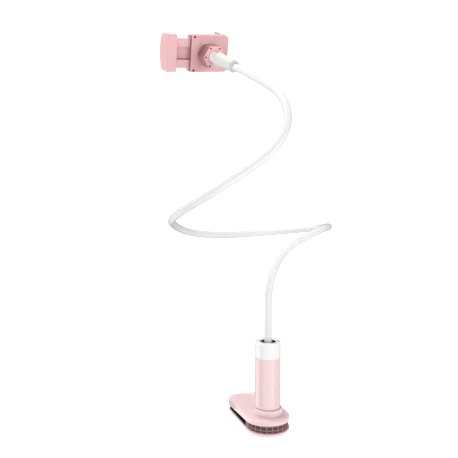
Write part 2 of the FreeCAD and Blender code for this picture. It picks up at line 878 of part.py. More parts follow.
save("lower_jaw", make_lower_jaw())
save("lower_jaw_pad", make_lower_pad())
save("edge_stop", make_edge_stop())
save("clamp_post", make_post())
save("post_screws", make_post_screws())
save("arm_set_screw", make_set_screw())
save("upper_jaw", make_upper_jaw())
save("upper_jaw_pad", make_upper_pad())
save("jaw_retainer", make_retainer())
save("grip_sleeve", make_grip())
save("sleeve_nut", make_grip_nut())
save("sleeve_top_ring", make_top_ring())
arm_hose, arm_core = make_arm()
save("arm_sleeve", arm_hose)
save("arm_core", arm_core)
save("arm_end_ferrule", make_ferrule())
save("ball_stud", make_ball_stud())
save("lock_nut", make_lock_nut())
save("clamp_housing", make_housing())
save("back_cover", make_cover())
save("cover_screws", make_cover_screws())
save("fixed_jaw_pad", make_fixed_pad())
save("sliding_jaw", make_sliding_jaw())
save("sliding_jaw_pad", make_sliding_pad())
save("spring_pins", make_spring_pins())
save("jaw_springs", make_springs())
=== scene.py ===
import json
import math

import bpy
from mathutils import Matrix, Vector


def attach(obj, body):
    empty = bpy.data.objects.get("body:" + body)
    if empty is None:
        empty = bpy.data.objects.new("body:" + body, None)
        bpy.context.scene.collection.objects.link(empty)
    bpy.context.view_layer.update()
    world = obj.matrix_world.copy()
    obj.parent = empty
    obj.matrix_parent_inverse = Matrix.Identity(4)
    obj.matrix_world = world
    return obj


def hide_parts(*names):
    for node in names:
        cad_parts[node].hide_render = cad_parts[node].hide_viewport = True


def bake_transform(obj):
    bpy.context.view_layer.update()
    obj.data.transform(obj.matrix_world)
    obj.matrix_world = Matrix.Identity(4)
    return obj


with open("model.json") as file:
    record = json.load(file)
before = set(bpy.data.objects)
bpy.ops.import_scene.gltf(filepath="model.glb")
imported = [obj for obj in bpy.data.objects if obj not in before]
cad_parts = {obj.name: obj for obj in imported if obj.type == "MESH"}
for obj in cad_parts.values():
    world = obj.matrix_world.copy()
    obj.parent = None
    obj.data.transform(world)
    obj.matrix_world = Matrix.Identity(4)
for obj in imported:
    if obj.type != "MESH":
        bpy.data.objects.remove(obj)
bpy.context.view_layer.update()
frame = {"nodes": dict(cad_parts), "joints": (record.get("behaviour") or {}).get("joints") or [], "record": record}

MM = 0.001
MERGE_DISTANCE = 0.01 * MM

# The arm's route from the post to the ball's stem, in millimetres, and its hose and wire
ARM_ROUTE = [
    (0, 0, 134), (0, 0, 196), (35, 25, 234), (91, 32, 255), (135, 85, 253),
    (134, 153, 242), (74, 191, 234), (-2, 159, 236), (-66, 119, 245), (-102, 74, 260),
    (-127, 8, 278), (-86, -59, 314), (-11, -76, 366), (9, -38, 418),
]
ARM_STEM_LEAD = 100 * MM
ARM_STEPS = 24
ARM_ROUNDING = 10
ARM_SMOOTH_ANGLE = 40
HOSE_RADIUS = 4.75 * MM
HOSE_WALL = 1.7 * MM
HOSE_FOOT = 105.4 * MM
HOSE_END = 32.2 * MM
WIRE_RADIUS = 3.0 * MM
WIRE_FOOT = 77.4 * MM
WIRE_END = 29.6 * MM

# The tension springs in the phone clamp, measured from the clamp's middle
CLAMP_RISE = 1.6 * MM
SPRING_PIN = 20.5 * MM
SPRING_ANCHOR = -14.0 * MM
SPRING_SIDE = 4.0 * MM
SPRING_DEPTH = -20.6 * MM
SPRING_COIL = 1.55 * MM
SPRING_WIRE = 0.38 * MM
SPRING_WIRE_SIDES = 8
SPRING_EYE = 2.0 * MM
SPRING_EYE_STEPS = 32
SPRING_TURNS = 36
SPRING_TURN_STEPS = 14
SPRING_SMOOTH_ANGLE = 50

# The post's coarse thread
THREAD_PITCH = 5.0 * MM
THREAD_ROOT = 7.9 * MM
THREAD_OUTSIDE = 9.6 * MM
THREAD_ROOT_HALF = 0.8 * MM
THREAD_CREST_HALF = 1.7 * MM
THREAD_LOW = 12.0 * MM
THREAD_TURNS = 18
THREAD_TURN_STEPS = 40
THREAD_SMOOTH_ANGLE = 30

# Places on the phone clamp and its ball joint, from the ball's centre
BEAD_START = 46.4 * MM
NUT_FRONT = 6.0 * MM
NUT_CORNERS = 6
NUT_RIBS = 60
DIMPLE_INNER = 12.0 * MM
DIMPLE_OUTER = 15.4 * MM
MOUTH_EDGE = -27.0 * MM
MOUTH_HOLE_SIDE = 22.3 * MM
MOUTH_HOLE_DEPTH = -20.8 * MM
MOUTH_HOLE_RADIUS = 1.4 * MM
JAW_INNER_EDGE = -45.0 * MM
TONGUE_BACK = -18.3 * MM
CHANNEL_FLOOR = -22.9 * MM
CHANNEL_LOW = CLAMP_RISE - 8.4 * MM

# Places on the base: distances from the post's axis, and the height of the collar's foot
RING_BORE = 9.6 * MM
COLLAR_RADIUS = 19.0 * MM
COLLAR_FOOT = 22.0 * MM
STOP_FACE = 26.4 * MM
STOP_CELL_FLOOR = 25.9 * MM

# Colours: each pair is a moulded surface's colour and what it drifts to
BASE_PINKS = ((0.92, 0.685, 0.705), (0.905, 0.66, 0.68))
# The head's pinks are the base's plastic made darker, as painted shade on the head that faces down.
HEAD_PINKS = ((0.775, 0.46, 0.475), (0.755, 0.437, 0.452))
# The cover's pinks are the head's made darker again, as painted shade.
COVER_PINKS = ((0.72, 0.415, 0.43), (0.70, 0.395, 0.41))
# The nut's pinks are lighter than the head's, as painted light on the nut's face in the ferrule's shadow.
NUT_PINKS = ((0.84, 0.485, 0.50), (0.80, 0.455, 0.47))
RING_WHITES = ((0.93, 0.93, 0.925), (0.91, 0.91, 0.905))
# The ferrule's whites are greyer than the ring's, as painted shade.
FERRULE_WHITES = ((0.70, 0.70, 0.68), (0.67, 0.67, 0.65))
HOSE_WHITES = ((0.97, 0.97, 0.97), (0.96, 0.96, 0.96))
STOP_MAUVES = ((0.36, 0.225, 0.235), (0.31, 0.195, 0.20))
PAD_BLACKS = ((0.004, 0.003, 0.003), (0.008, 0.006, 0.006))
PAD_GREYS = ((0.50, 0.46, 0.46), (0.45, 0.41, 0.41))
POST_GREYS = ((0.05, 0.05, 0.052), (0.03, 0.03, 0.032))
FASTENER_BROWNS = ((0.10, 0.07, 0.07), (0.06, 0.045, 0.045))
SPRING_GREYS = ((0.62, 0.62, 0.63), (0.52, 0.52, 0.53))
BRASS_YELLOWS = ((0.72, 0.52, 0.22), (0.66, 0.46, 0.18))
ALUMINIUM_GREYS = ((0.80, 0.80, 0.81), (0.74, 0.74, 0.75))
# Painted shade: round the collar's foot, on the nut's upper and lower sides with lighter ribs striped across, in
# the nut's dimples, in the head's crevices and small holes, and in the stop's cells.
COLLAR_SHADE_PINK = (0.74, 0.53, 0.545)
RIB_PINK = (0.62, 0.34, 0.35)
NUT_UPPER_SIDE_SHADE = (0.315, 0.158, 0.164)
NUT_LOWER_SIDE_SHADE = (0.425, 0.218, 0.228)
DIMPLE_SHADE = (0.05, 0.014, 0.018)
CREVICE_SHADE = (0.27, 0.13, 0.135)
CELL_SHADE = (0.115, 0.063, 0.065)
BEAD_GREY = (0.60, 0.60, 0.61)
# Painted shade down in the ring's bore.
BORE_SHADE = (0.02, 0.02, 0.02)
PAPER_GREY = (0.9, 0.9, 0.9)
WHITE = (1, 1, 1)

# Finishes: roughness from low to high, scale and depth of the grain, and values for the shader
BASE_GLOSS = (0.25, 0.32)
HEAD_GLOSS = (0.36, 0.46)
RING_GLOSS = (0.2, 0.28)
PLASTIC_GRAIN = (2200, 0.02 * MM)
HOSE_GRAIN = (2200, 0.003 * MM)
RUBBER_GRAIN = (1500, 0.05 * MM)
METAL_GRAIN = (900, 0.01 * MM)
GRAIN_STRENGTH = 0.25
GRAIN_DETAIL = 2
DRIFT_SCALE = 22
DRIFT_DETAIL = 3
BASE_COAT = {"Coat Weight": 1.0, "Coat Roughness": 0.12, "Coat IOR": 1.6}
HEAD_COAT = {"Coat Weight": 0.2, "Coat Roughness": 0.3}
RING_COAT = {"Coat Weight": 0.8, "Coat Roughness": 0.08}
BALL_COAT = {**RING_COAT, "Coat IOR": 1.6}
FERRULE_COAT = {"Coat Weight": 0.6, "Coat Roughness": 0.1}
HOSE_COAT = {"Coat Weight": 1.0, "Coat Roughness": 0.25, "Coat IOR": 1.1,
             "Coat Tint": (0.87, 0.87, 0.87)}
METAL = {"Metallic": 1.0}

# The studio: soft lamps with their azimuth, elevation and power
LAMP_SIZE = 1.0
LAMP_DISTANCE = 1.6
LAMP_TARGET = Vector((0, 0.05, 0.25))
LAMPS = [
    ("back_left_light", -130, 66, 19.5),
    ("left_light", -120, 8, 7),
    ("front_left_light", -45, 8, 8.2),
    ("front_right_light", 33, 18, 10),
    ("right_light", 65, 10, 6.5),
    ("back_right_light", 160, 62, 14),
]

# Screens that lean away from the holder, with their azimuth, half angle and tone
SCREEN_NEAR = 0.09
SCREEN_FAR = 1.1
SCREEN_FOOT = 0.002
SCREEN_TOP = 0.9
SCREENS = [
    ("left_screen", -82, 20, 0.12),
    ("right_screen", 62, 26, 0.12),
    ("back_screen", 157, 55, 0.3),
]

# The floor's size, and the light of the room, the floor and the background as shares of white
ROOM_LIGHT = 0.08
FLOOR_SIZE = 30
FLOOR_SEEN_SHARE = 0.88
FLOOR_SEEN_GLOW = 1.14
FLOOR_SOFT_GLOW = 1.0
BACKGROUND_WHITE = 1.0
BACKGROUND_GRAIN = 0.4

# The photograph's camera: lens and sensor in millimetres, place in metres, turn in degrees
CAMERA_LENS = 50
CAMERA_SENSOR = 36
CAMERA_PLACE = (-0.30659, -0.73683, 0.345)
CAMERA_TURN = (84, 0, -19)


# Small helpers for modelling

def deselect_all():
    if bpy.context.object and bpy.context.object.mode != "OBJECT":
        bpy.ops.object.mode_set(mode="OBJECT")
    bpy.ops.object.select_all(action="DESELECT")


def take_up(piece):
    """Selects one piece alone and makes it active."""
    deselect_all()
    piece.select_set(True)
    bpy.context.view_layer.objects.active = piece


def apply_modifiers(piece):
    take_up(piece)
    for modifier in list(piece.modifiers):
        bpy.ops.object.modifier_apply(modifier=modifier.name)


def edit_all(piece, *steps):
    """Runs edit-mode steps, starting with everything in a piece selected."""
    take_up(piece)
    bpy.ops.object.mode_set(mode="EDIT")
    bpy.ops.mesh.select_all(action="SELECT")
    for step in steps:
        step()
    bpy.ops.object.mode_set(mode="OBJECT")


def merge_doubles():
    bpy.ops.mesh.select_all(action="SELECT")
    bpy.ops.mesh.remove_doubles(threshold=MERGE_DISTANCE)


def face_outwards():
    bpy.ops.mesh.select_all(action="SELECT")
    bpy.ops.mesh.normals_make_consistent(inside=False)


def close_ends():
    bpy.ops.mesh.select_all(action="DESELECT")
    bpy.ops.mesh.select_mode(type="EDGE")
    bpy.ops.mesh.select_non_manifold()
    bpy.ops.mesh.edge_face_add()


def drop_face():
    bpy.ops.mesh.delete(type="ONLY_FACE")


def wind(piece, turns, turn_steps, rise):
    """Winds an outline round the Z axis into a closed helix."""
    screw = piece.modifiers.new("helix", "SCREW")
    screw.axis = "Z"
    screw.steps = turn_steps
    screw.render_steps = turn_steps
    screw.iterations = turns
    screw.screw_offset = rise
    apply_modifiers(piece)
    edit_all(piece, merge_doubles, close_ends, face_outwards)


def smooth(piece, degrees):
    take_up(piece)
    bpy.ops.object.shade_smooth_by_angle(angle=math.radians(degrees))


def put_in_place(piece, place):
    """Moves a piece's mesh, so that the object itself stays at the origin, unturned."""
    piece.data.transform(place @ piece.matrix_basis)
    piece.matrix_basis = Matrix.Identity(4)


def join_pieces(name, pieces):
    deselect_all()
    for piece in pieces:
        piece.select_set(True)
    bpy.context.view_layer.objects.active = pieces[0]
    bpy.ops.object.join()
    whole = bpy.context.object
    whole.name = name
    return whole


# The phone clamp's own axes, from its joints: along its jaws, up its back and out of its back

def joint(name):
    return [j for j in frame["joints"] if j["name"] == name][0]


CLAMP_OUT = Vector(joint("head_turn")["axis"]).normalized()
CLAMP_ALONG = -Vector(joint("jaw_slide")["axis"]).normalized()
CLAMP_UP = CLAMP_OUT.cross(CLAMP_ALONG).normalized()
BALL_CENTRE = Vector(joint("head_turn")["pos_m"])
STEM = Vector(joint("ball_spin")["axis"]).normalized()


def clamp_point(along, up, out):
    return BALL_CENTRE + CLAMP_ALONG * along + CLAMP_UP * (up + CLAMP_RISE) + CLAMP_OUT * out


def axes_place(origin, x_axis, y_axis, z_axis):
    """Matrix that carries a piece drawn at the origin to a place with the given axes."""
    turn = Matrix((x_axis, y_axis, z_axis)).transposed()
    return Matrix.Translation(origin) @ turn.to_4x4()


# Small helpers for shader nodes

def feed(tree, node, inputs):
    """Feeds a node's sockets: links them to another node's output, or sets a constant."""
    for key, value in inputs.items():
        socket = node.inputs[key]
        if isinstance(value, bpy.types.NodeSocket):
            tree.links.new(value, socket)
        elif socket.type == "RGBA":
            socket.default_value = (*value, 1)
        else:
            socket.default_value = value


def add_node(tree, kind, inputs):
    node = tree.nodes.new(kind)
    feed(tree, node, inputs)
    return node


def add_group(tree, group, inputs):
    node = tree.nodes.new("ShaderNodeGroup")
    node.node_tree = group
    feed(tree, node, inputs)
    return node.outputs


def math_step(tree, operation, *values):
    step = tree.nodes.new("ShaderNodeMath")
    step.operation = operation
    feed(tree, step, dict(enumerate(values)))
    return step.outputs["Value"]


def vector_step(tree, operation, first, second):
    step = tree.nodes.new("ShaderNodeVectorMath")
    step.operation = operation
    feed(tree, step, {0: first, 1: second})
    return step.outputs


def length_of(tree, first, second):
    """Length across two measures at right angles."""
    squares = [math_step(tree, "MULTIPLY", side, side) for side in (first, second)]
    return math_step(tree, "SQRT", math_step(tree, "ADD", *squares))


def all_of(tree, mask, *others):
    """1 where every mask is 1."""
    for other in others:
        mask = math_step(tree, "MULTIPLY", mask, other)
    return mask


def ramp(tree, value, low, high):
    """0 at one value and 1 at another, which may be the smaller."""
    node = add_node(tree, "ShaderNodeMapRange",
                    {"Value": value, "From Min": low, "From Max": high})
    return node.outputs["Result"]


def fade(tree, measure, place, start, end):
    """0 to 1 as a measure goes from start to end, in millimetres from a named place."""
    return ramp(tree, measure, place + start * MM, place + end * MM)


def mix_colours(tree, mask, first, second):
    """First colour where a mask is 0, second where it is 1."""
    factor, colour_a, colour_b, result = 0, 6, 7, 2
    mix = tree.nodes.new("ShaderNodeMix")
    mix.data_type = "RGBA"
    feed(tree, mix, {factor: mask, colour_a: first, colour_b: second})
    return mix.outputs[result]


def object_place(tree):
    return tree.nodes.new("ShaderNodeTexCoord").outputs["Object"]


def coordinates(tree):
    """A point's X, Y and Z."""
    return add_node(tree, "ShaderNodeSeparateXYZ", {"Vector": object_place(tree)}).outputs


def distance_from_post(tree):
    """How far a point lies from the post's upright axis."""
    point = coordinates(tree)
    return length_of(tree, point["X"], point["Y"])


# Node groups shared by the materials

COLOUR, VALUE, VECTOR = "NodeSocketColor", "NodeSocketFloat", "NodeSocketVector"


def start_group(name, inputs, outputs):
    tree = bpy.data.node_groups.new(name, "ShaderNodeTree")
    for in_out, sockets in (("INPUT", inputs), ("OUTPUT", outputs)):
        for label, kind in sockets.items():
            tree.interface.new_socket(name=label, in_out=in_out, socket_type=kind)
    entry = tree.nodes.new("NodeGroupInput")
    leave = tree.nodes.new("NodeGroupOutput")
    return tree, entry.outputs, leave


def make_moulded_skin():
    """Fine grain and slow colour drift of a moulded surface."""
    tree, given, leave = start_group(
        "moulded_skin",
        {"Colour": COLOUR, "Drift Colour": COLOUR, "Grain Scale": VALUE,
         "Gloss Low": VALUE, "Gloss High": VALUE},
        {"Colour": COLOUR, "Roughness": VALUE, "Height": VALUE})
    place = object_place(tree)
    drift = add_node(tree, "ShaderNodeTexNoise", {
        "Vector": place, "Scale": DRIFT_SCALE, "Detail": DRIFT_DETAIL}).outputs["Fac"]
    grain = add_node(tree, "ShaderNodeTexNoise", {
        "Vector": place, "Scale": given["Grain Scale"], "Detail": GRAIN_DETAIL}).outputs["Fac"]
    gloss = add_node(tree, "ShaderNodeMapRange", {
        "Value": drift, "To Min": given["Gloss Low"], "To Max": given["Gloss High"]})
    feed(tree, leave, {
        "Colour": mix_colours(tree, drift, given["Colour"], given["Drift Colour"]),
        "Roughness": gloss.outputs["Result"],
        "Height": grain})
    return tree


def make_along_axis():
    """How far a point lies along an axis, and how squarely its face looks along that axis."""
    tree, given, leave = start_group(
        "along_axis", {"Middle": VECTOR, "Axis": VECTOR}, {"Distance": VALUE, "Facing": VALUE})
    place = tree.nodes.new("ShaderNodeTexCoord").outputs
    offset = vector_step(tree, "SUBTRACT", place["Object"], given["Middle"])["Vector"]
    look = vector_step(tree, "DOT_PRODUCT", place["Normal"], given["Axis"])["Value"]
    feed(tree, leave, {
        "Distance": vector_step(tree, "DOT_PRODUCT", offset, given["Axis"])["Value"],
        "Facing": math_step(tree, "ABSOLUTE", look)})
    return tree


MOULDED_SKIN = make_moulded_skin()
ALONG_AXIS = make_along_axis()


def measure_axis(tree, axis, middle=BALL_CENTRE):
    return add_group(tree, ALONG_AXIS, {"Middle": middle, "Axis": axis})


# Materials

def moulded(name, colours, gloss, grain, shader_values):
    """A moulded surface, with more values for its shader's own sockets."""
    material = bpy.data.materials.new(name)
    material.use_nodes = True
    tree = material.node_tree
    skin = add_group(tree, MOULDED_SKIN, {
        "Colour": colours[0], "Drift Colour": colours[1], "Grain Scale": grain[0],
        "Gloss Low": gloss[0], "Gloss High": gloss[1]})
    bump = add_node(tree, "ShaderNodeBump", {
        "Strength": GRAIN_STRENGTH, "Distance": grain[1], "Height": skin["Height"]})
    feed(tree, tree.nodes["Principled BSDF"], {
        "Base Color": skin["Colour"], "Roughness": skin["Roughness"],
        "Normal": bump.outputs["Normal"], **shader_values})
    return material


def paint(material, mask, colour):
    """Puts a colour over a material's own where a mask is 1."""
    tree = material.node_tree
    surface = tree.nodes["Principled BSDF"]
    under = surface.inputs["Base Color"].links[0].from_socket
    feed(tree, surface, {"Base Color": mix_colours(tree, mask, under, colour)})
    return material


def make_nut_plastic():
    """Dusty pink lock nut, its face a lighter pink than the head's as painted light, with painted shade on its
    sides, darker above than below and striped with fine lighter ribs, and painted shade in the dimples at its
    corners.
    """
    material = moulded("nut_plastic", NUT_PINKS, (0.45, 0.55), PLASTIC_GRAIN,
                       {"Specular IOR Level": 0.3})
    tree = material.node_tree
    out = measure_axis(tree, CLAMP_OUT)
    along = measure_axis(tree, CLAMP_ALONG)["Distance"]
    up = measure_axis(tree, CLAMP_UP)["Distance"]
    angle = math_step(tree, "ARCTAN2", up, along)
    wave = math_step(tree, "SINE", math_step(tree, "MULTIPLY", angle, NUT_RIBS))
    ribs = math_step(tree, "MULTIPLY", ramp(tree, wave, 0.2, 0.9), 0.4)
    # Painted shade on the nut's sides, darker on the upper sides than the lower, with lighter ribs striped across
    # it.
    below = ramp(tree, up, 2.0 * MM, -2.0 * MM)
    side_shade = mix_colours(tree, below, NUT_UPPER_SIDE_SHADE, NUT_LOWER_SIDE_SHADE)
    sides = ramp(tree, out["Facing"], 0.75, 0.45)
    paint(material, sides, mix_colours(tree, ribs, side_shade, RIB_PINK))
    corner_wave = math_step(tree, "COSINE", math_step(tree, "MULTIPLY", angle, NUT_CORNERS))
    radius = length_of(tree, along, up)
    # Painted shade down in the dimples at the nut's corners.
    dimple = all_of(tree, ramp(tree, corner_wave, 0.55, 0.65),
                    fade(tree, out["Distance"], NUT_FRONT, -0.1, -0.2),
                    fade(tree, radius, DIMPLE_INNER, -0.2, 0),
                    fade(tree, radius, DIMPLE_OUTER, 0.2, 0))
    return paint(material, dimple, DIMPLE_SHADE)


def make_jaw_plastic():
    """The base's pink plastic, with painted shade round the front of the collar's foot."""
    material = moulded("jaw_plastic", BASE_PINKS, BASE_GLOSS, PLASTIC_GRAIN, BASE_COAT)
    tree = material.node_tree
    point = coordinates(tree)
    # Painted shade on the jaw in front of the collar, fading outwards, upwards and towards the back.
    shade = all_of(tree, fade(tree, distance_from_post(tree), COLLAR_RADIUS, 5.0, 0.6),
                   fade(tree, point["Z"], COLLAR_FOOT, 7.0, 0.5),
                   ramp(tree, point["Y"], 2.0 * MM, -14.0 * MM))
    return paint(material, shade, COLLAR_SHADE_PINK)


def make_stop_rubber():
    """Mauve rubber, with painted shade down in the cells round the nose."""
    material = moulded("stop_rubber", STOP_MAUVES, (0.6, 0.75), RUBBER_GRAIN,
                       {"Specular IOR Level": 0.2})
    tree = material.node_tree
    # Painted shade down in the cells, below the stop's face.
    cells = ramp(tree, distance_from_post(tree), STOP_FACE, STOP_CELL_FLOOR)
    return paint(material, cells, CELL_SHADE)


def make_ferrule_plastic():
    """White plastic, greyer than the ring's as painted shade, with a pale grey bead at the hose's end."""
    material = moulded("ferrule_plastic", FERRULE_WHITES, (0.25, 0.35), PLASTIC_GRAIN,
                       FERRULE_COAT)
    tree = material.node_tree
    bead = fade(tree, measure_axis(tree, STEM)["Distance"], BEAD_START, 0, 0.4)
    return paint(material, bead, BEAD_GREY)


def make_housing_plastic():
    """The head's pink plastic, with painted shade in the two small holes beside the mouth."""
    material = moulded("housing_plastic", HEAD_PINKS, HEAD_GLOSS, PLASTIC_GRAIN, HEAD_COAT)
    tree = material.node_tree
    along = measure_axis(tree, CLAMP_ALONG)["Distance"]
    up = measure_axis(tree, CLAMP_UP, BALL_CENTRE + CLAMP_UP * CLAMP_RISE)["Distance"]
    out = measure_axis(tree, CLAMP_OUT, BALL_CENTRE + CLAMP_OUT * MOUTH_HOLE_DEPTH)["Distance"]
    side = math_step(tree, "SUBTRACT", math_step(tree, "ABSOLUTE", up), MOUTH_HOLE_SIDE)
    # Painted shade in the two small holes beside the mouth.
    hole = all_of(tree, fade(tree, length_of(tree, side, out), MOUTH_HOLE_RADIUS, 0.2, 0.1),
                  fade(tree, along, MOUTH_EDGE, 4.0, 3.0))
    return paint(material, hole, CREVICE_SHADE)


def make_cover_plastic():
    """The cover's pink plastic, with painted shade on the edge where the tongue slides in."""
    material = moulded("cover_plastic", COVER_PINKS, HEAD_GLOSS, PLASTIC_GRAIN, HEAD_COAT)
    tree = material.node_tree
    along = measure_axis(tree, CLAMP_ALONG)
    # Painted shade on the cover's edge beside the mouth.
    edge = all_of(tree, ramp(tree, along["Facing"], 0.6, 0.8),
                  fade(tree, along["Distance"], MOUTH_EDGE, 1.5, 0.8))
    return paint(material, edge, CREVICE_SHADE)


def make_tongue_plastic():
    """The sliding jaw's pink plastic, with painted shade along the lower wall of the tongue's channel."""
    material = moulded("tongue_plastic", HEAD_PINKS, HEAD_GLOSS, PLASTIC_GRAIN, HEAD_COAT)
    tree = material.node_tree
    along = measure_axis(tree, CLAMP_ALONG)["Distance"]
    up = measure_axis(tree, CLAMP_UP)["Distance"]
    out = measure_axis(tree, CLAMP_OUT)["Distance"]
    # Painted shade along the lower wall of the tongue's channel.
    wall = all_of(tree, fade(tree, up, CHANNEL_LOW, 1.0, 0.5),
                  fade(tree, up, CHANNEL_LOW, -0.3, -0.1),
                  fade(tree, out, TONGUE_BACK, -0.1, -0.3),
                  fade(tree, out, CHANNEL_FLOOR, -0.4, -0.2),
                  fade(tree, along, JAW_INNER_EDGE, -0.5, 0))
    return paint(material, wall, CREVICE_SHADE)


def make_ring_plastic():
    """White plastic, with painted shade down in the ring's bore beside the arm."""
    material = moulded("ring_plastic", RING_WHITES, RING_GLOSS, PLASTIC_GRAIN, RING_COAT)
    tree = material.node_tree
    # Painted shade down in the bore.
    bore = fade(tree, distance_from_post(tree), RING_BORE, 0.5, 0.2)
    return paint(material, bore, BORE_SHADE)


SLOT_MATERIALS = {slot: moulded(slot, *look) for slot, look in {
    "base_plastic": (BASE_PINKS, BASE_GLOSS, PLASTIC_GRAIN, BASE_COAT),
    "white_plastic": (RING_WHITES, RING_GLOSS, PLASTIC_GRAIN, BALL_COAT),
    "white_silicone": (HOSE_WHITES, (0.34, 0.38), HOSE_GRAIN, HOSE_COAT),
    "black_rubber": (PAD_BLACKS, (0.7, 0.85), RUBBER_GRAIN, {"Specular IOR Level": 0.02}),
    "grey_silicone": (PAD_GREYS, (0.7, 0.85), RUBBER_GRAIN, {"Specular IOR Level": 0.3}),
    "post_steel": (POST_GREYS, (0.4, 0.55), METAL_GRAIN, METAL),
    "fastener_steel": (FASTENER_BROWNS, (0.35, 0.5), METAL_GRAIN, METAL),
    "spring_steel": (SPRING_GREYS, (0.2, 0.3), METAL_GRAIN, METAL),
    "nut_brass": (BRASS_YELLOWS, (0.25, 0.4), METAL_GRAIN, METAL),
    "arm_aluminium": (ALUMINIUM_GREYS, (0.3, 0.45), METAL_GRAIN, METAL),
}.items()}
OWN_MATERIALS = {
    "upper_jaw": make_jaw_plastic(),
    "edge_stop": make_stop_rubber(),
    "sleeve_top_ring": make_ring_plastic(),
    "arm_end_ferrule": make_ferrule_plastic(),
    "lock_nut": make_nut_plastic(),
    "clamp_housing": make_housing_plastic(),
    "back_cover": make_cover_plastic(),
    "sliding_jaw": make_tongue_plastic(),
}
SLOTS = {part["node"]: part["material_slot"] for part in frame["record"]["subparts"]}


def dress(piece, node):
    """Gives a piece the look of one of the model's nodes: the node's own material, or its slot's."""
    slot = SLOTS[node]
    piece.data.materials.clear()
    piece.data.materials.append(OWN_MATERIALS.get(node) or SLOT_MATERIALS[slot])


for node in SLOTS:
    dress(frame["nodes"][node], node)


# The bendable arm: one smooth hose round a wire

def make_arm_tube(name, radius, foot, stem_end, wall=None):
    """A rod along the arm's route, from a height in the post to a place on the ball's stem.
    With a wall it is a hose."""
    points = [Vector((0, 0, foot))] + [Vector(p) * MM for p in ARM_ROUTE]
    points += [BALL_CENTRE + STEM * ARM_STEM_LEAD, BALL_CENTRE + STEM * stem_end]
    curve = bpy.data.curves.new(name, "CURVE")
    curve.dimensions = "3D"
    curve.bevel_depth = radius
    curve.bevel_resolution = ARM_ROUNDING
    curve.resolution_u = ARM_STEPS
    curve.use_fill_caps = wall is None
    spline = curve.splines.new("NURBS")
    spline.points.add(len(points) - 1)
    for point, place in zip(spline.points, points):
        point.co = (*place, 1)
    spline.order_u = 3
    spline.use_endpoint_u = True
    tube = bpy.data.objects.new(name, curve)
    bpy.context.scene.collection.objects.link(tube)
    take_up(tube)
    bpy.ops.object.convert(target="MESH")
    tube = bpy.context.object
    edit_all(tube, merge_doubles, face_outwards)
    if wall:
        shell = tube.modifiers.new("wall", "SOLIDIFY")
        shell.thickness = wall
        shell.offset = -1
        apply_modifiers(tube)
        edit_all(tube, face_outwards)
    smooth(tube, ARM_SMOOTH_ANGLE)
    return tube


arm_hose = make_arm_tube("arm_hose", HOSE_RADIUS, HOSE_FOOT, HOSE_END, HOSE_WALL)
arm_wire = make_arm_tube("arm_wire", WIRE_RADIUS, WIRE_FOOT, WIRE_END)
for tube, node in ((arm_hose, "arm_sleeve"), (arm_wire, "arm_core")):
    dress(tube, node)
    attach(tube, "base")
    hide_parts(node)


# The tension springs: coils of wire with an eye at each end

def make_coil(side):
    coil_start = SPRING_ANCHOR + SPRING_EYE
    coil_length = SPRING_PIN - SPRING_ANCHOR - 2 * SPRING_EYE
    deselect_all()
    bpy.ops.mesh.primitive_circle_add(
        vertices=SPRING_WIRE_SIDES, radius=SPRING_WIRE, location=(SPRING_COIL, 0, 0),
        rotation=(math.radians(90), 0, 0))
    coil = bpy.context.object
    bpy.ops.object.transform_apply(location=True, rotation=True, scale=True)
    wind(coil, SPRING_TURNS, SPRING_TURN_STEPS, coil_length / SPRING_TURNS)
    put_in_place(coil, axes_place(clamp_point(coil_start, side, SPRING_DEPTH),
                                  CLAMP_UP, CLAMP_OUT, CLAMP_ALONG))
    return coil


def make_spring_eye(along, side):
    deselect_all()
    bpy.ops.mesh.primitive_torus_add(
        major_radius=SPRING_EYE, minor_radius=SPRING_WIRE,
        major_segments=SPRING_EYE_STEPS, minor_segments=SPRING_WIRE_SIDES)
    eye = bpy.context.object
    put_in_place(eye, axes_place(clamp_point(along, side, SPRING_DEPTH),
                                 CLAMP_ALONG, CLAMP_UP, CLAMP_OUT))
    return eye


def make_spring(name, side):
    coil = make_coil(side)
    eyes = [make_spring_eye(along, side) for along in (SPRING_ANCHOR, SPRING_PIN)]
    spring = join_pieces(name, [coil, *eyes])
    edit_all(spring, face_outwards)
    smooth(spring, SPRING_SMOOTH_ANGLE)
    return spring


for name, side in (("upper_spring", SPRING_SIDE), ("lower_spring", -SPRING_SIDE)):
    spring = make_spring(name, side)
    dress(spring, "jaw_springs")
    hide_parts("jaw_springs")
    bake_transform(spring)


# The post: a coarse screw thread cut into it

def make_thread_groove():
    """The helix that the thread's groove takes out of the post."""
    deselect_all()
    bpy.ops.mesh.primitive_plane_add(size=1, location=(0, 0, 0),
                                     rotation=(math.radians(90), 0, 0))
    groove = bpy.context.object
    bpy.ops.object.transform_apply(location=True, rotation=True, scale=True)
    for corner in groove.data.vertices:
        at_root = corner.co.x < 0
        half = THREAD_ROOT_HALF if at_root else THREAD_CREST_HALF
        corner.co.z = half if corner.co.z > 0 else -half
        corner.co.x = THREAD_ROOT if at_root else THREAD_OUTSIDE
    edit_all(groove, drop_face)
    wind(groove, THREAD_TURNS, THREAD_TURN_STEPS, THREAD_PITCH)
    put_in_place(groove, Matrix.Translation((0, 0, THREAD_LOW)))
    return groove


def make_threaded_post():
    post = frame["nodes"]["clamp_post"].copy()
    post.data = post.data.copy()
    post.name = "threaded_post"
    post.parent = None
    bpy.context.scene.collection.objects.link(post)
    put_in_place(post, Matrix.Identity(4))
    edit_all(post, merge_doubles, face_outwards)
    groove = make_thread_groove()
    cut = post.modifiers.new("thread", "BOOLEAN")
    cut.operation = "DIFFERENCE"
    cut.solver = "EXACT"
    cut.object = groove
    apply_modifiers(post)
    bpy.data.objects.remove(groove)
    edit_all(post, merge_doubles, face_outwards)
    smooth(post, THREAD_SMOOTH_ANGLE)
    return post


threaded_post = make_threaded_post()
dress(threaded_post, "clamp_post")
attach(threaded_post, "base")
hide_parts("clamp_post")


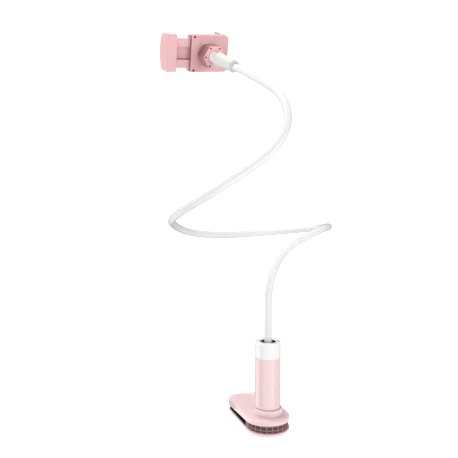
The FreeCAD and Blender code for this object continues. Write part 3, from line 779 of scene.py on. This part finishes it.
# Studio: world, floor, lamps, screens and the photograph's camera

def seen_rays(tree):
    """1 for rays that look straight, in a mirror or through glass, 0 for soft light."""
    path = tree.nodes.new("ShaderNodeLightPath").outputs
    either = math_step(tree, "MAXIMUM", path["Is Camera Ray"], path["Is Glossy Ray"])
    return math_step(tree, "MAXIMUM", either, path["Is Transmission Ray"])


def with_grain(tree, level):
    """A level of light, with fine grain above it for the camera alone. On white the grain clips
    and doesn't show, but with it the renderer smooths the thin white arm as well."""
    path = tree.nodes.new("ShaderNodeLightPath").outputs
    noise = add_node(tree, "ShaderNodeTexWhiteNoise", {"Vector": object_place(tree)})
    grain = math_step(tree, "MULTIPLY", noise.outputs["Value"], BACKGROUND_GRAIN)
    seen_grain = math_step(tree, "MULTIPLY", grain, path["Is Camera Ray"])
    return math_step(tree, "ADD", level, seen_grain)


def mix_shaders(tree, share, first, second, out_kind):
    """Puts out the first shader where a share is 0 and the second where it is 1."""
    mix = add_node(tree, "ShaderNodeMixShader", {
        0: share, 1: first.outputs[0], 2: second.outputs[0]})
    add_node(tree, out_kind, {"Surface": mix.outputs[0]})


def make_world():
    """A dim even room, which looks white."""
    world = bpy.data.worlds.new("studio")
    bpy.context.scene.world = world
    world.use_nodes = True
    tree = world.node_tree
    tree.nodes.clear()
    room = add_node(tree, "ShaderNodeBackground", {"Color": WHITE, "Strength": ROOM_LIGHT})
    backdrop = add_node(tree, "ShaderNodeBackground", {
        "Color": WHITE, "Strength": with_grain(tree, BACKGROUND_WHITE)})
    mix_shaders(tree, seen_rays(tree), room, backdrop, "ShaderNodeOutputWorld")


def stage_material(piece, name):
    """Gives a stage piece an empty material and returns its node tree."""
    material = bpy.data.materials.new(name)
    material.use_nodes = True
    material.cycles.emission_sampling = "NONE"
    material.node_tree.nodes.clear()
    piece.data.materials.append(material)
    return material.node_tree


def make_floor():
    """A pale floor: white where it is looked at, and an even soft light from below. Its share of
    paper takes the holder's shadow, but the glow alone is white, so the shadow doesn't show."""
    deselect_all()
    bpy.ops.mesh.primitive_plane_add(size=FLOOR_SIZE, location=(0, 0, 0))
    floor = bpy.context.object
    floor.name = "floor"
    tree = stage_material(floor, "pale_floor")
    seen = seen_rays(tree)
    paper_share = math_step(tree, "MULTIPLY", seen, 1 - FLOOR_SEEN_SHARE)
    extra = with_grain(tree, FLOOR_SEEN_GLOW - FLOOR_SOFT_GLOW)
    strength = math_step(tree, "ADD", FLOOR_SOFT_GLOW,
                         math_step(tree, "MULTIPLY", seen, extra))
    paper = add_node(tree, "ShaderNodeBsdfDiffuse", {"Color": PAPER_GREY})
    glow = add_node(tree, "ShaderNodeEmission", {"Color": WHITE, "Strength": strength})
    mix_shaders(tree, math_step(tree, "SUBTRACT", 1, paper_share), paper, glow,
                "ShaderNodeOutputMaterial")


def way_to(azimuth, elevation):
    """Direction from the holder; azimuth 0 is the -Y side and grows towards +X."""
    a, e = math.radians(azimuth), math.radians(elevation)
    return Vector((math.sin(a) * math.cos(e), -math.cos(a) * math.cos(e), math.sin(e)))


def add_lamp(name, azimuth, elevation, power):
    way = way_to(azimuth, elevation)
    light = bpy.data.lights.new(name, "AREA")
    light.size = LAMP_SIZE
    light.energy = power
    lamp = bpy.data.objects.new(name, light)
    lamp.location = LAMP_TARGET + way * LAMP_DISTANCE
    lamp.rotation_euler = way.to_track_quat("Z", "Y").to_euler()
    lamp.visible_glossy = False
    bpy.context.scene.collection.objects.link(lamp)


def add_screen(name, azimuth, half_angle, tone):
    """A dark screen that leans away beside the holder and shows in reflections alone."""
    deselect_all()
    bpy.ops.mesh.primitive_plane_add(size=1)
    screen = bpy.context.object
    screen.name = name
    for corner in screen.data.vertices:
        reach = SCREEN_FAR if corner.co.y > 0 else SCREEN_NEAR
        height = SCREEN_TOP if corner.co.y > 0 else SCREEN_FOOT
        side = half_angle if corner.co.x > 0 else -half_angle
        corner.co = way_to(azimuth + side, 0) * reach + Vector((0, 0, height))
    tree = stage_material(screen, name)
    glow = add_node(tree, "ShaderNodeEmission", {"Color": (tone, tone, tone)})
    add_node(tree, "ShaderNodeOutputMaterial", {"Surface": glow.outputs[0]})
    screen.visible_camera = False
    screen.visible_diffuse = False
    screen.visible_shadow = False
    screen.visible_transmission = False


def make_camera():
    view = bpy.data.cameras.new("photo_view")
    view.lens = CAMERA_LENS
    view.sensor_width = CAMERA_SENSOR
    camera = bpy.data.objects.new("photo_view", view)
    camera.location = CAMERA_PLACE
    camera.rotation_euler = [math.radians(angle) for angle in CAMERA_TURN]
    bpy.context.scene.collection.objects.link(camera)
    bpy.context.scene.camera = camera


make_world()
make_floor()
for lamp in LAMPS:
    add_lamp(*lamp)
for screen in SCREENS:
    add_screen(*screen)
make_camera()

bpy.context.scene.view_settings.view_transform = "Standard"
